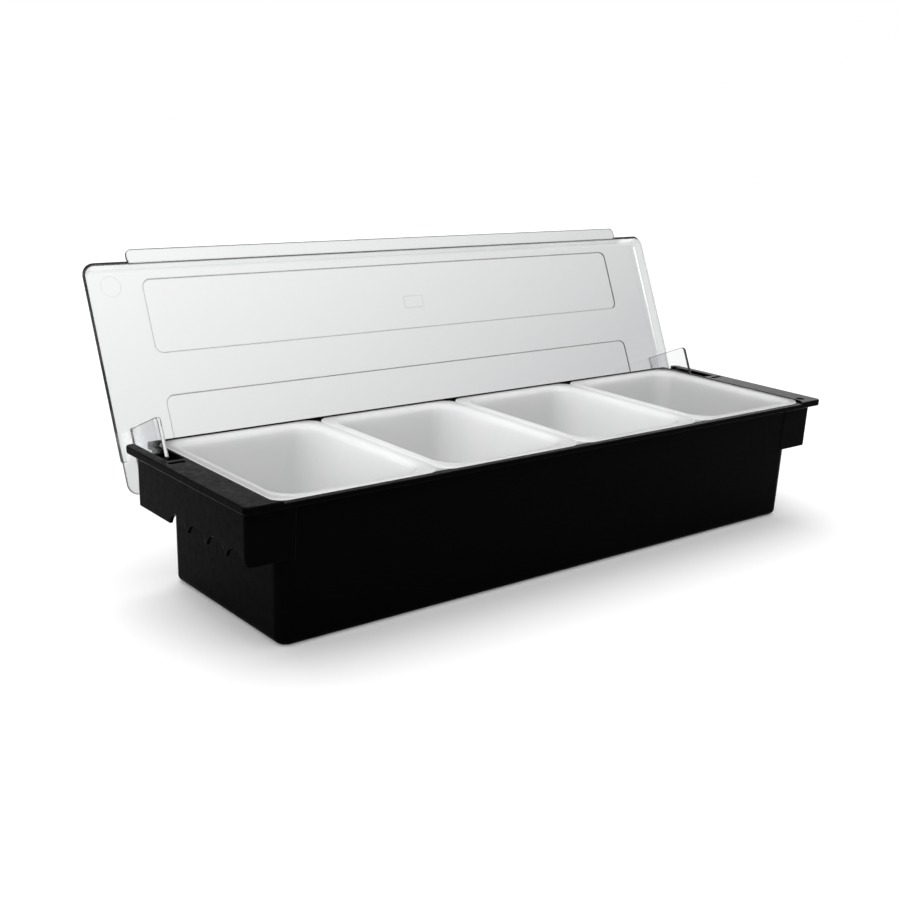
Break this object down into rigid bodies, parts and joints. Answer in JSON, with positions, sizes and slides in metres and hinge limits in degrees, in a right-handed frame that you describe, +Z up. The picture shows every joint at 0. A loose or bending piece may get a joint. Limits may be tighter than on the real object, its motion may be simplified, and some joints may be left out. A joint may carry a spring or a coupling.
{
  "type": "condiment caddy",
  "caption": "Countertop condiment caddy: a black base with end ledges, a row of lift-out white trays and a clear lid that flips up on hinges at the back.",
  "frame": {"origin": "centre of the base's underside, on the table", "axes": "+X along the length to the right as seen from the front, +Y to the back where the lid is hinged, +Z up"},
  "size_m": [0.381, 0.1549, 0.1514],
  "materials": {
    "base_black": "satin",
    "tray_white": "satin",
    "lid_clear": "clear polished",
    "pin_steel": "drawn"
  },
  "bodies": {
    "base": {"base_tub": "base_black", "hinge_pin_left": "pin_steel", "hinge_pin_right": "pin_steel"},
    "tray_1": {"condiment_tray_1": "tray_white"},
    "tray_2": {"condiment_tray_2": "tray_white"},
    "tray_3": {"condiment_tray_3": "tray_white"},
    "tray_4": {"condiment_tray_4": "tray_white"},
    "lid": {"clear_lid": "lid_clear"}
  },
  "joints": [
    {"name": "lid_hinge", "type": "hinge", "parent": "base", "child": "lid", "pos_m": [0, 0.0456, 0.0576], "axis": [-1, 0, 0], "range_deg": [-113.6, 0]},
    {"name": "tray_1_lift", "type": "slide", "parent": "base", "child": "tray_1", "axis": [0, 0, 1], "range_m": [0, 0.062]},
    {"name": "tray_2_lift", "type": "slide", "parent": "base", "child": "tray_2", "axis": [0, 0, 1], "range_m": [0, 0.062]},
    {"name": "tray_3_lift", "type": "slide", "parent": "base", "child": "tray_3", "axis": [0, 0, 1], "range_m": [0, 0.062]},
    {"name": "tray_4_lift", "type": "slide", "parent": "base", "child": "tray_4", "axis": [0, 0, 1], "range_m": [0, 0.062]}
  ]
}
